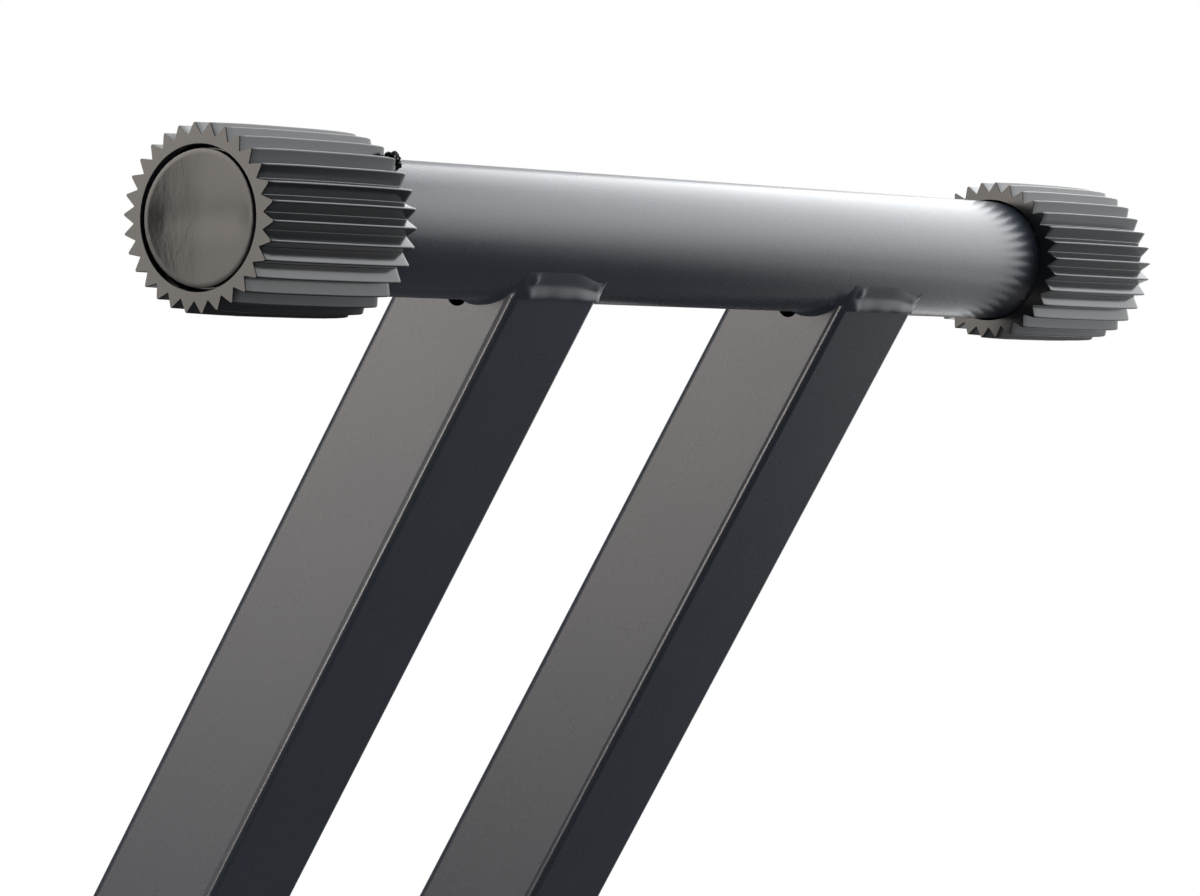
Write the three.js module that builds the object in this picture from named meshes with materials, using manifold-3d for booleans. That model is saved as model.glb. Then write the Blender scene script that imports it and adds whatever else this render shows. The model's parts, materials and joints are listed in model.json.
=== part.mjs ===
// A folding keyboard stand. Two pairs of rectangular legs cross like scissors. A round bar is
// welded across each end of each pair, with a ribbed cap pushed over each bar end, and a pull pin
// locks the fold in an index plate. Millimetres, +Z up, bars along Y, front at -Y.
// The origin is on the floor, under the pivot. The pin is drawn pulled out, so the legs are free.
import * as THREE from 'three';
import { mergeVertices } from 'three/addons/utils/BufferGeometryUtils.js';
import Module from 'manifold-3d';

const wasm = await Module();
wasm.setup();

// ---- Driving dimensions ----------------------------------------------------------------------
const TOUCH = 0.3;              // gap kept between two pieces that touch

const BAR_DIAMETER = 30;        // round tube of all four bars
const BAR_WALL = 1.5;
const TOP_BAR_LENGTH = 372;     // over the two caps
const FOOT_BAR_LENGTH = 460;    // over the two caps

const LEG_LENGTH = 950;         // from bar axis to bar axis
const LEG_ANGLE = 57.8;         // degrees from the floor, as it stands
const LEG_THICKNESS = 30;       // across the leg, in the plane of the scissors
const LEG_WIDTH = 33;           // along the bars
const LEG_WALL = 1.5;
const LEG_CORNER = 3;           // outer corner radius of the rectangular tube
const CENTRE_GAP = 22;          // between the two inner legs
const SIDE_GAP = 8;             // between an inner leg and the outer leg beside it
const WELD_RADIUS = 2.3;        // bead between a leg's side and its bar
const WELD_SINK = 1;            // how deep the bead's middle lies inside the leg's side
const DRAIN_RADIUS = 2.9;       // drain notch at each end of a leg's wide faces
const DRAIN_OFFSET = 1;         // from the leg's centre line, away from the pivot side

const CAP_LENGTH = 50;
const CAP_WALL = 2.5;           // from bore to rib root
const RIB_COUNT = 30;
const RIB_HEIGHT = 2.5;
const RIB_LAND = 0.7;           // flat on top of each rib
const CAP_NOSE = 7;             // length that is drawn in at the cap's inner end
const CAP_DRAW = 0.5;           // how far the inner end is drawn in
const FRONT_RIB = -2.4;         // degrees from straight up to a rib of a top bar's front cap
const REAR_RIB = 6;             // and of its rear cap

const PLUG_FLANGE = 2.5;        // thickness of the end plug's disc
const PLUG_EDGE = 0.4;          // how far the disc is smaller than the tube
const PLUG_RECESS = 0.4;        // how far the disc sits inside the cap's face
const PLUG_DEPTH = 14;          // hollow spigot inside the tube
const PLUG_WALL = 2;

const BOLT_DIAMETER = 10;       // pivot bolt
const BOLT_FLATS = 16;          // across the flats of head and nut
const BOLT_HEAD_HEIGHT = 6.4;
const BOLT_END = 2.5;           // thread beyond the nut
const NUT_HEIGHT = 8;
const NUT_COLLAR = 2.5;         // round collar that holds the locking ring
const WASHER_DIAMETER = 24;
const WASHER_THICKNESS = 2;
const SLEEVE_WALL = 3;          // crush sleeves and centre spacer
const GLIDE_DIAMETER = 28;      // nylon glide washers between the legs

const PLATE_THICKNESS = 4;      // index plate
const INDEX_RADIUS = 55;        // from the pivot to the row of holes
const PLATE_RIM = 6;            // material outside the holes
const FOLD_STOPS = [-45, -30, -15, 0, 15, 59];   // degrees from this stance: low to folded flat

const PIN_DIAMETER = 8;
const PIN_HOLE_CLEARANCE = 0.4;
const PIN_CHAMFER = 0.8;
const PIN_TRAVEL = 7;
const PIN_SHORT = 1;            // the seated pin stops this far short of the inner leg
const STEM_DIAMETER = 6;
const GUIDE_WALL = 2.7;         // pin guide that passes through the leg
const CLIP_THICKNESS = 1.2;
const CLIP_CLEARANCE = 0.6;     // from the seated clip to the leg
const HOUSING_LENGTH = 32;
const HOUSING_WALL = 2.7;
const HOUSING_BORE = 15.6;
const HOUSING_FOOT = 3;         // thickness of the foot flange
const FOOT_FLANGE_EDGE = 2.5;   // how far the flange stands out from the barrel
const SPRING_WIRE = 1.2;
const SPRING_CURLS = 6;
const SPRING_DIAMETER = 13.2;   // outside
const KNOB_DIAMETER = 30;
const KNOB_LENGTH = 26;
const KNOB_CLEARANCE = 0.5;     // from the seated knob to the housing
const KNOB_GRIP_DEPTH = 16;     // length of stem held in the knob

// ---- Values worked out from them -------------------------------------------------------------
const radians = THREE.MathUtils.degToRad;
const barRadius = BAR_DIAMETER / 2;
const barBore = barRadius - BAR_WALL;
const tilt = radians(90 - LEG_ANGLE);
const halfLeg = LEG_LENGTH / 2;
const capBore = barRadius + TOUCH;
const rootRadius = capBore + CAP_WALL;
const crestRadius = rootRadius + RIB_HEIGHT;
const pivotHeight = halfLeg * Math.sin(radians(LEG_ANGLE)) + crestRadius;

const innerNear = CENTRE_GAP / 2;
const innerFar = innerNear + LEG_WIDTH;
const outerNear = innerFar + SIDE_GAP;
const outerFar = outerNear + LEG_WIDTH;

const boltRadius = BOLT_DIAMETER / 2;
const boltHole = boltRadius + TOUCH;
const sleeveRadius = boltHole + SLEEVE_WALL;
const pinRadius = PIN_DIAMETER / 2;
const stemRadius = STEM_DIAMETER / 2;
const indexHole = pinRadius + PIN_HOLE_CLEARANCE;
const guideRadius = pinRadius + TOUCH + GUIDE_WALL;

const BAR_SIDES = 32;
const ROUND_SIDES = 20;
const SMALL_SIDES = 12;
const BEAD_SIDES = 8;
const CORNER_STEPS = 2;

// ---- Finishes --------------------------------------------------------------------------------
const finish = (color, roughness, metalness = 0) =>
  () => new THREE.MeshStandardMaterial({ color, roughness, metalness });
const powderCoat = finish(0x4a4d52, 0.5, 0.2);
const capPlastic = finish(0x55565a, 0.75);
const plugPlastic = finish(0x2a2b2e, 0.6);
const zincSteel = finish(0xb9bcc0, 0.35, 1);
const nylon = finish(0xd8d6cf, 0.6);
const knobPlastic = finish(0x1d1e20, 0.45);
const springSteel = finish(0x8d9095, 0.3, 1);

// ---- Shape helpers ---------------------------------------------------------------------------
// A solid of revolution about Y from [radius, y] points that start and end on the axis.
function turned(points, sides = ROUND_SIDES) {
  return new THREE.LatheGeometry(points.map(([radius, y]) => new THREE.Vector2(radius, y)), sides);
}

// A ring or stepped tube about Y: the [radius, y] points go round its wall and close.
function turnedRing(points, sides = ROUND_SIDES) {
  return turned([...points, points[0]], sides);
}

function tube(inner, outer, from, to, sides = ROUND_SIDES) {
  return turnedRing([[inner, from], [outer, from], [outer, to], [inner, to]], sides);
}

function rod(radius, from, to, sides = ROUND_SIDES) {
  return turned([[0, from], [radius, from], [radius, to], [0, to]], sides);
}

function hexagon(flats, from, to) {
  return rod(flats / Math.sqrt(3), from, to, 6);
}

function toManifold(geometry) {
  const bare = geometry.clone();
  bare.deleteAttribute('normal');
  bare.deleteAttribute('uv');
  const merged = mergeVertices(bare, 1e-4);
  const index = merged.index.array;
  const corners = [];
  for (let i = 0; i < index.length; i += 3) {
    const [a, b, c] = index.slice(i, i + 3);
    if (a !== b && b !== c && c !== a) corners.push(a, b, c);
  }
  const vertProperties = Float32Array.from(merged.attributes.position.array);
  return new wasm.Manifold(new wasm.Mesh({
    numProp: 3, vertProperties, triVerts: Uint32Array.from(corners),
  }));
}

function toGeometry(solid) {
  const { vertProperties, triVerts } = solid.getMesh();
  const geometry = new THREE.BufferGeometry();
  geometry.setAttribute('position', new THREE.BufferAttribute(vertProperties, 3));
  geometry.setIndex(new THREE.BufferAttribute(triVerts, 1));
  return geometry;
}

function joined(first, ...others) {
  return toGeometry(others.reduce((solid, other) => solid.add(toManifold(other)), toManifold(first)));
}

function cutBy(body, ...tools) {
  return toGeometry(tools.reduce((solid, tool) => solid.subtract(toManifold(tool)), toManifold(body)));
}

function piece(name, geometry, material) {
  geometry.computeVertexNormals();
  const mesh = new THREE.Mesh(geometry, material());
  mesh.name = name;
  return mesh;
}

// ---- Bars, caps and plugs --------------------------------------------------------------------
// In a frame's own space its bars lie at z = +halfLeg and z = -halfLeg and the pivot at 0.
function bar(name, length, z) {
  const half = length / 2 - PLUG_RECESS - PLUG_FLANGE - TOUCH;
  const mesh = piece(name, tube(barBore, barRadius, -half, half, BAR_SIDES), powderCoat);
  mesh.position.z = z;
  return mesh;
}

// One ring of a ribbed cap, as points in order about +Y from +Z: two for a rib's land, one for
// the valley after it. The phase is the angle of a rib's middle.
function ribRing(phase, y, drawIn) {
  const pitch = 2 * Math.PI / RIB_COUNT;
  const crest = crestRadius - drawIn;
  const halfLand = Math.atan2(RIB_LAND / 2, crest);
  const corner = crest / Math.cos(halfLand);
  const ring = [];
  for (let rib = 0; rib < RIB_COUNT; rib += 1) {
    const middle = phase + rib * pitch;
    for (const [angle, radius] of [
      [middle - halfLand, corner], [middle + halfLand, corner],
      [middle + pitch / 2, rootRadius - drawIn],
    ]) ring.push(new THREE.Vector3(radius * Math.sin(angle), y, radius * Math.cos(angle)));
  }
  return ring;
}

function boreRing(y) {
  return Array.from({ length: BAR_SIDES }, (_, side) => {
    const angle = 2 * Math.PI * side / BAR_SIDES;
    return new THREE.Vector3(capBore * Math.sin(angle), y, capBore * Math.cos(angle));
  });
}

// Quads between two rings of equal count. They face away from the axis when the second ring
// lies further along +Y.
function bandFaces(first, second, count) {
  const faces = [];
  for (let i = 0; i < count; i += 1) {
    const next = (i + 1) % count;
    faces.push([first + i, first + next, second + next], [first + i, second + next, second + i]);
  }
  return faces;
}

// Faces of the flat end between an outline and a round hole, facing +Y.
function endFaces(outline, hole, outlineStart, holeStart) {
  const flat = (points) => points.map((point) => new THREE.Vector2(point.z, point.x));
  const [rim, inner] = [flat(outline), flat(hole)];
  const all = [...rim, ...inner];
  return THREE.ShapeUtils.triangulateShape(rim, [inner]).map((face) => {
    const facesUp = THREE.ShapeUtils.area(face.map((corner) => all[corner])) > 0;
    const ordered = facesUp ? face : [...face].reverse();
    return ordered.map((corner) => corner < rim.length
      ? outlineStart + corner : holeStart + corner - rim.length);
  });
}

const reversed = (faces) => faces.map((face) => [...face].reverse());

// A cap with its flat outer end at y = 0 and its drawn-in inner end at y = CAP_LENGTH.
function ribbedCap(phase) {
  const outers = [[0, 0], [CAP_LENGTH - CAP_NOSE, 0], [CAP_LENGTH, CAP_DRAW]]
    .map(([y, drawIn]) => ribRing(phase, y, drawIn));
  const bores = [boreRing(0), boreRing(CAP_LENGTH)];
  const starts = [];
  const points = [];
  for (const ring of [...outers, ...bores]) {
    starts.push(points.length);
    points.push(...ring);
  }
  const [face, neck, nose, boreFront, boreBack] = starts;
  const ribs = RIB_COUNT * 3;
  const faces = [
    ...bandFaces(face, neck, ribs), ...bandFaces(neck, nose, ribs),
    ...reversed(bandFaces(boreFront, boreBack, BAR_SIDES)),
    ...reversed(endFaces(outers[0], bores[0], face, boreFront)),
    ...endFaces(outers[2], bores[1], nose, boreBack),
  ];
  return new THREE.BufferGeometry().setFromPoints(points).setIndex(faces.flat());
}

// A plug with its disc's outer face at y = 0 and its hollow spigot pointing along +Y.
function endPlug() {
  const disc = barRadius - PLUG_EDGE;
  const spigot = barBore - TOUCH;
  return turned([
    [0, 0], [disc, 0], [disc, PLUG_FLANGE], [spigot, PLUG_FLANGE], [spigot, PLUG_DEPTH],
    [spigot - PLUG_WALL, PLUG_DEPTH], [spigot - PLUG_WALL, PLUG_FLANGE], [0, PLUG_FLANGE],
  ]);
}

// A bar with its caps and plugs. A rib stands at the given degrees from straight up, towards +X,
// on each cap. The lean is the frame's own turn about Y, which the caps undo.
function dressedBar(name, length, z, lean, frontRib = 0, rearRib = 0) {
  const group = new THREE.Group();
  group.add(bar(name, length, z));
  const ends = [['front', 1, radians(frontRib) - lean], ['rear', -1, lean - radians(rearRib)]];
  for (const [end, side, phase] of ends) {
    const cap = piece(`${name}_cap_${end}`, ribbedCap(phase), capPlastic);
    const plug = piece(`${name}_plug_${end}`, endPlug(), plugPlastic);
    cap.position.set(0, -side * length / 2, z);
    plug.position.set(0, -side * (length / 2 - PLUG_RECESS), z);
    if (side < 0) cap.rotation.z = Math.PI;
    if (side < 0) plug.rotation.z = Math.PI;
    group.add(cap, plug);
  }
  return group;
}

// ---- Legs ------------------------------------------------------------------------------------
function roundedRectangle(width, height, corner) {
  const [x, y] = [width / 2, height / 2];
  const path = new THREE.Shape();
  path.moveTo(-x + corner, -y);
  path.lineTo(x - corner, -y);
  path.absarc(x - corner, -y + corner, corner, -Math.PI / 2, 0);
  path.lineTo(x, y - corner);
  path.absarc(x - corner, y - corner, corner, 0, Math.PI / 2);
  path.lineTo(-x + corner, y);
  path.absarc(-x + corner, y - corner, corner, Math.PI / 2, Math.PI);
  path.lineTo(-x, -y + corner);
  path.absarc(-x + corner, -y + corner, corner, Math.PI, 1.5 * Math.PI);
  return path;
}

// A leg-long bar of the leg's section, drawn in by the inset on every side.
function legSolid(inset = 0) {
  const section = roundedRectangle(LEG_THICKNESS - 2 * inset, LEG_WIDTH - 2 * inset, LEG_CORNER - inset);
  const options = { depth: LEG_LENGTH, bevelEnabled: false, curveSegments: CORNER_STEPS };
  return new THREE.ExtrudeGeometry(section, options).translate(0, 0, -halfLeg);
}

const legHollow = () => legSolid(LEG_WALL);

// The leg ends hug the bars, with a weld bead on each side and a drain notch on each wide face.
// Extra holes are [z, radius] pairs that pass through both wide faces.
function leg(name, middle, holes) {
  const half = LEG_WIDTH / 2;
  const past = half + 1;
  const cope = barRadius + TOUCH;
  const halfThick = LEG_THICKNESS / 2;
  const crease = Math.sqrt(Math.max(cope ** 2 - halfThick ** 2, 0));
  const beads = [];
  const tools = holes.map(([z, radius]) => rod(radius, -past, past).translate(0, 0, z));
  for (const end of [1, -1]) {
    for (const side of [1, -1]) {
      const bead = rod(WELD_RADIUS, -half, half, BEAD_SIDES);
      const height = end * (halfLeg - crease - WELD_RADIUS);
      beads.push(bead.translate(side * (halfThick - WELD_SINK), 0, height));
    }
    tools.push(rod(cope, -past, past, BAR_SIDES).translate(0, 0, end * halfLeg));
    const drain = rod(DRAIN_RADIUS, -past, past, SMALL_SIDES);
    tools.push(drain.translate(DRAIN_OFFSET, 0, end * (halfLeg - cope)));
  }
  const welded = cutBy(joined(legSolid(), ...beads), legHollow());
  const mesh = piece(name, cutBy(welded, ...tools), powderCoat);
  mesh.position.y = middle;
  return mesh;
}

function crushSleeve(name, middle) {
  const sleeve = tube(boltHole, sleeveRadius, middle - LEG_WIDTH / 2, middle + LEG_WIDTH / 2);
  return piece(name, sleeve, zincSteel);
}

// ---- Pivot -----------------------------------------------------------------------------------
function pivotHardware() {
  const washerFace = outerFar + TOUCH;
  const headFace = washerFace + WASHER_THICKNESS + TOUCH;
  const nutTop = headFace + NUT_HEIGHT;
  const boltEnd = nutTop + NUT_COLLAR + BOLT_END;
  const washer = (from) => tube(boltHole, WASHER_DIAMETER / 2, from, from + WASHER_THICKNESS);
  const bolt = joined(rod(boltRadius, -headFace - 1, boltEnd),
    hexagon(BOLT_FLATS, -headFace - BOLT_HEAD_HEIGHT, -headFace));
  const nut = cutBy(joined(hexagon(BOLT_FLATS, headFace, nutTop),
    rod(BOLT_FLATS / 2 - 1, nutTop - 1, nutTop + NUT_COLLAR)), rod(boltHole, 0, boltEnd));
  const glide = (from, to) => tube(boltHole, GLIDE_DIAMETER / 2, from, to);
  const plateFront = innerFar + 2 * TOUCH + PLATE_THICKNESS;
  return [
    piece('pivot_bolt', bolt, zincSteel),
    piece('pivot_washer_front', washer(-washerFace - WASHER_THICKNESS), zincSteel),
    piece('pivot_washer_rear', washer(washerFace), zincSteel),
    piece('pivot_lock_nut', nut, zincSteel),
    piece('glide_washer_front', glide(-outerNear + TOUCH, -plateFront), nylon),
    piece('glide_washer_rear', glide(innerFar + TOUCH, outerNear - TOUCH), nylon),
  ];
}

// ---- Index plate and pull pin ----------------------------------------------------------------
// The plate turns with the inner legs. A stop's hole comes under the pin, which is on the outer
// legs, when the inner legs have turned by that stop's angle about +Y.
function indexPlate() {
  const front = -innerFar - TOUCH - PLATE_THICKNESS;
  const back = -innerFar - TOUCH;
  const disc = rod(INDEX_RADIUS + indexHole + PLATE_RIM, front, back, 2 * ROUND_SIDES);
  const holes = FOLD_STOPS.map((stop) => {
    const angle = 2 * tilt - radians(stop);
    const hole = rod(indexHole, front - 1, back + 1, SMALL_SIDES);
    return hole.translate(INDEX_RADIUS * Math.sin(angle), 0, INDEX_RADIUS * Math.cos(angle));
  });
  const plate = cutBy(disc, rod(boltHole, front - 1, back + 1), ...holes);
  return piece('index_plate', plate, powderCoat);
}

// Everything of the pull pin lies on its axis, along Y, in front of the outer front leg.
const pinTip = -innerFar - PIN_SHORT - PIN_TRAVEL;
const clipBack = -outerFar - CLIP_CLEARANCE - PIN_TRAVEL;
const housingBack = -outerFar - TOUCH;
const housingFront = housingBack - HOUSING_LENGTH;
const knobBack = housingFront - KNOB_CLEARANCE - PIN_TRAVEL;

function latchHousing() {
  const bore = HOUSING_BORE / 2;
  const barrel = bore + HOUSING_WALL;
  const flange = barrel + FOOT_FLANGE_EDGE;
  const stemHole = stemRadius + TOUCH;
  return turnedRing([
    [stemHole, housingFront], [barrel, housingFront], [barrel, housingBack - HOUSING_FOOT],
    [flange, housingBack - HOUSING_FOOT], [flange, housingBack], [bore, housingBack],
    [bore, housingFront + HOUSING_WALL], [stemHole, housingFront + HOUSING_WALL],
  ]);
}

function latchPin() {
  const shoulder = clipBack + TOUCH;
  return turned([
    [0, knobBack - KNOB_GRIP_DEPTH], [stemRadius, knobBack - KNOB_GRIP_DEPTH],
    [stemRadius, shoulder], [pinRadius, shoulder], [pinRadius, pinTip - PIN_CHAMFER],
    [pinRadius - PIN_CHAMFER, pinTip], [0, pinTip],
  ]);
}

function latchKnob() {
  const radius = KNOB_DIAMETER / 2;
  const front = knobBack - KNOB_LENGTH;
  const bore = stemRadius + TOUCH;
  const boreEnd = knobBack - KNOB_GRIP_DEPTH - TOUCH;
  return turned([
    [0, front], [radius * 0.72, front + KNOB_LENGTH * 0.04], [radius * 0.95, front + KNOB_LENGTH * 0.18],
    [radius, front + KNOB_LENGTH * 0.35], [radius * 0.9, front + KNOB_LENGTH * 0.55],
    [radius * 0.58, front + KNOB_LENGTH * 0.8], [radius * 0.55, knobBack], [bore, knobBack],
    [bore, boreEnd], [0, boreEnd],
  ]);
}

// The spring fills the housing between the clip and the housing's end. Each curl has 8 steps,
// and the wire has 5 sides and a straight end.
function latchSpring() {
  const steps = 8;
  const sides = 5;
  const wire = SPRING_WIRE / 2;
  const coil = SPRING_DIAMETER / 2 - wire;
  const from = clipBack - CLIP_THICKNESS - TOUCH - wire;
  const to = housingFront + HOUSING_WALL + TOUCH + wire;
  const count = SPRING_CURLS * steps;
  const points = [];
  const middles = [];
  const addRing = (angle, y, slide) => {
    const radial = new THREE.Vector3(Math.sin(angle), 0, Math.cos(angle));
    const along = new THREE.Vector3(Math.cos(angle), 0, -Math.sin(angle));
    const middle = new THREE.Vector3(0, y, 0).addScaledVector(radial, coil).addScaledVector(along, slide);
    middles.push(middle);
    for (let side = 0; side < sides; side += 1) {
      const turn = 2 * Math.PI * side / sides;
      const out = radial.clone().multiplyScalar(wire * Math.sin(turn));
      points.push(out.add(middle).add(new THREE.Vector3(0, wire * Math.cos(turn), 0)));
    }
  };
  addRing(0, from, -SPRING_WIRE);
  for (let step = 0; step <= count; step += 1) {
    addRing(2 * Math.PI * step / steps, from + (to - from) * step / count, 0);
  }
  addRing(2 * Math.PI * SPRING_CURLS, to, SPRING_WIRE);
  const faces = [];
  for (let ring = 0; ring + 1 < middles.length; ring += 1) {
    faces.push(...bandFaces(ring * sides, (ring + 1) * sides, sides));
  }
  const last = (middles.length - 1) * sides;
  for (let side = 1; side + 1 < sides; side += 1) {
    faces.push([0, side + 1, side], [last, last + side, last + side + 1]);
  }
  let gap = Infinity;
  for (let i = 0; i < middles.length; i += 1) {
    for (let j = i + steps / 2; j < middles.length; j += 1) {
      gap = Math.min(gap, middles[i].distanceTo(middles[j]) - SPRING_WIRE);
    }
  }
  console.log(`latch_spring: least gap between its curls ${gap.toFixed(2)} mm`);
  return new THREE.BufferGeometry().setFromPoints(points).setIndex(faces.flat());
}

function latch() {
  const group = new THREE.Group();
  const guide = tube(pinRadius + TOUCH, guideRadius, -outerFar, -outerNear);
  const clip = tube(stemRadius + TOUCH, SPRING_DIAMETER / 2, clipBack - CLIP_THICKNESS, clipBack);
  group.add(
    piece('latch_housing', latchHousing(), powderCoat),
    piece('latch_guide', guide, zincSteel),
    piece('latch_pin', latchPin(), zincSteel),
    piece('latch_clip', clip, zincSteel),
    piece('latch_spring', latchSpring(), springSteel),
    piece('latch_knob', latchKnob(), knobPlastic),
  );
  group.position.z = INDEX_RADIUS;
  return group;
}

// ---- The two frames --------------------------------------------------------------------------
const outerMiddle = (outerNear + outerFar) / 2;
const innerMiddle = (innerNear + innerFar) / 2;
const pivotHole = [0, sleeveRadius + TOUCH];
const guideHole = [INDEX_RADIUS, guideRadius + TOUCH];

// Leans to the right: its top bar is on the right and its foot bar on the left.
function outerFrame() {
  const group = new THREE.Group();
  group.rotation.y = tilt;
  group.add(
    dressedBar('top_bar_right', TOP_BAR_LENGTH, halfLeg, tilt, FRONT_RIB, REAR_RIB),
    dressedBar('foot_bar_left', FOOT_BAR_LENGTH, -halfLeg, tilt),
    leg('outer_leg_front', -outerMiddle, [pivotHole, guideHole]),
    leg('outer_leg_rear', outerMiddle, [pivotHole]),
    crushSleeve('outer_sleeve_front', -outerMiddle),
    crushSleeve('outer_sleeve_rear', outerMiddle),
    ...pivotHardware(),
    latch(),
  );
  return group;
}

// Leans to the left, between the outer legs.
function innerFrame() {
  const group = new THREE.Group();
  group.rotation.y = -tilt;
  const spacer = tube(boltHole, sleeveRadius, -innerNear + TOUCH, innerNear - TOUCH);
  group.add(
    dressedBar('top_bar_left', TOP_BAR_LENGTH, halfLeg, -tilt, FRONT_RIB, REAR_RIB),
    dressedBar('foot_bar_right', FOOT_BAR_LENGTH, -halfLeg, -tilt),
    leg('inner_leg_front', -innerMiddle, [pivotHole]),
    leg('inner_leg_rear', innerMiddle, [pivotHole]),
    crushSleeve('inner_sleeve_front', -innerMiddle),
    crushSleeve('inner_sleeve_rear', innerMiddle),
    piece('centre_spacer', spacer, zincSteel),
    indexPlate(),
  );
  return group;
}

const stand = new THREE.Group();
stand.position.z = pivotHeight;
stand.add(outerFrame(), innerFrame());

export default stand;
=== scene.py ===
# %% [markdown]
# # A folding keyboard stand
# The stand is welded from steel tube: two pairs of rectangular legs that cross like scissors, and
# a round bar across each end of each pair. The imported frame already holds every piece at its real
# size. This lesson dresses it: it remodels each visible piece finely, in the same place, and gives
# it a finish. Everything is in metres, with the bars along Y and the floor at z = 0.

# %% Load the frame
import json
import math

import bmesh
import bpy
from mathutils import Matrix, Vector, noise


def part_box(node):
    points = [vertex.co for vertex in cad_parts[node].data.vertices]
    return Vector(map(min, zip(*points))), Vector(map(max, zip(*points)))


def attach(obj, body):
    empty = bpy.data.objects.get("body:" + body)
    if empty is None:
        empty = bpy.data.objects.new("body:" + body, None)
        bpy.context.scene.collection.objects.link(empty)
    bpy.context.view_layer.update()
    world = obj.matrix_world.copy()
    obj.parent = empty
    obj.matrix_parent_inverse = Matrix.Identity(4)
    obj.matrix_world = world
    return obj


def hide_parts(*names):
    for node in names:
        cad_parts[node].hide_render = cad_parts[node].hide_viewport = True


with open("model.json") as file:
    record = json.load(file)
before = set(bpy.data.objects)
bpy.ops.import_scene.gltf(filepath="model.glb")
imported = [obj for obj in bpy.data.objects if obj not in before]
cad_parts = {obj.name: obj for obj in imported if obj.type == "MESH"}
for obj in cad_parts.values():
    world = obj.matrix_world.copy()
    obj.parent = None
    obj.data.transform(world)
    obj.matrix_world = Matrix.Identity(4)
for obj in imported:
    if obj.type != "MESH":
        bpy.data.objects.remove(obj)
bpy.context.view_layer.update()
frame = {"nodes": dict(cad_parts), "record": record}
nodes = frame["nodes"]
MM = 0.001

# %% [markdown]
# ## Sizes
# The places come from the frame, so nothing has to be fitted. The sections of the tubes are set
# here, because a faceted solid only gives them roughly.

# %% Sizes and places read from the frame
BAR_RADIUS = 15 * MM
BAR_WALL = 1.5 * MM
LEG_THICKNESS = 30 * MM
LEG_WIDTH = 33 * MM
LEG_WALL = 1.5 * MM
LEG_CORNER = 2.1 * MM
TOUCH = 0.3 * MM                # the gap that the frame keeps between pieces that touch


def middle(node):
    """The centre of a node's box."""
    low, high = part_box(node)
    return (low + high) / 2


def span(node):
    """Where a node starts and ends along Y."""
    low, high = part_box(node)
    return low.y, high.y


def leg_space(foot_bar, top_bar):
    """The matrix of a pair's own space: Z up along its legs, the pivot at the origin."""
    foot, top = middle(foot_bar), middle(top_bar)
    along = top - foot
    lean = math.atan2(along.x, along.z)
    return Matrix.Translation((foot + top) / 2) @ Matrix.Rotation(lean, 4, "Y"), along.length, lean


outer_space, leg_length, outer_lean = leg_space("foot_bar_left", "top_bar_right")
inner_space, _, _ = leg_space("foot_bar_right", "top_bar_left")
print(f"legs {leg_length:.3f} m from bar to bar, leaning {math.degrees(outer_lean):.1f} degrees")

# %% [markdown]
# ## Mesh helpers
# Most pieces are turned: a profile is drawn as a few points, its corners are rounded, and it is
# spun about the Y axis. The others start as a block whose edges are bevelled, and lose material to
# cutters through a Boolean modifier, as the real ones do to a drill or a hole saw.

# %% Turned and carved pieces
SHARP_ANGLE = 35
SOFTENED_ANGLE = 50
MERGED = 1e-7


def as_object(name, mesh_builder):
    """A new object from a bmesh, with outward faces and edges sharp above the sharp angle."""
    bmesh.ops.remove_doubles(mesh_builder, verts=mesh_builder.verts, dist=MERGED)
    bmesh.ops.dissolve_degenerate(mesh_builder, dist=MERGED, edges=mesh_builder.edges)
    bmesh.ops.recalc_face_normals(mesh_builder, faces=mesh_builder.faces)
    mesh = bpy.data.meshes.new(name)
    mesh_builder.to_mesh(mesh)
    mesh_builder.free()
    piece = bpy.data.objects.new(name, mesh)
    bpy.context.scene.collection.objects.link(piece)
    return smoothed(piece)


def smoothed(piece):
    piece.data.shade_smooth()
    piece.data.set_sharp_from_angle(angle=math.radians(SHARP_ANGLE))
    return piece


def turned(name, profile, steps=64, rounding=0.3 * MM, closed=False):
    """A solid turned about Y from (radius, y) points that end on the axis, or are closed."""
    builder = bmesh.new()
    points = [builder.verts.new((radius, y, 0)) for radius, y in profile]
    pairs = list(zip(points, points[1:]))
    if closed:
        pairs.append((points[-1], points[0]))
    for pair in pairs:
        builder.edges.new(pair)
    if rounding:
        corners = points if closed else points[1:-1]
        bmesh.ops.bevel(builder, geom=corners, offset=rounding, affect="VERTICES",
                        segments=3, profile=0.5, material=-1, clamp_overlap=True)
    bmesh.ops.spin(builder, geom=builder.verts[:] + builder.edges[:], cent=(0, 0, 0),
                   axis=(0, 1, 0), angle=2 * math.pi, steps=steps, use_merge=True)
    return as_object(name, builder)


def tube(name, inner, outer, start, end, steps=64, rounding=0.3 * MM):
    wall = [(inner, start), (outer, start), (outer, end), (inner, end)]
    return turned(name, wall, steps, rounding, closed=True)


def block(name, size, corner, segments=5):
    """A box about the origin whose four edges along Z are rounded."""
    builder = bmesh.new()
    bmesh.ops.create_cube(builder, size=1)
    bmesh.ops.scale(builder, vec=size, verts=builder.verts)
    upright = [edge for edge in builder.edges
               if abs(edge.verts[0].co.z - edge.verts[1].co.z) > size[2] / 2]
    bmesh.ops.bevel(builder, geom=upright, offset=corner, affect="EDGES",
                    segments=segments, profile=0.5, material=-1)
    return as_object(name, builder)


def settled(piece):
    """Applies a piece's modifiers and returns it."""
    graph = bpy.context.evaluated_depsgraph_get()
    piece.data = bpy.data.meshes.new_from_object(piece.evaluated_get(graph))
    piece.modifiers.clear()
    return piece


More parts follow.
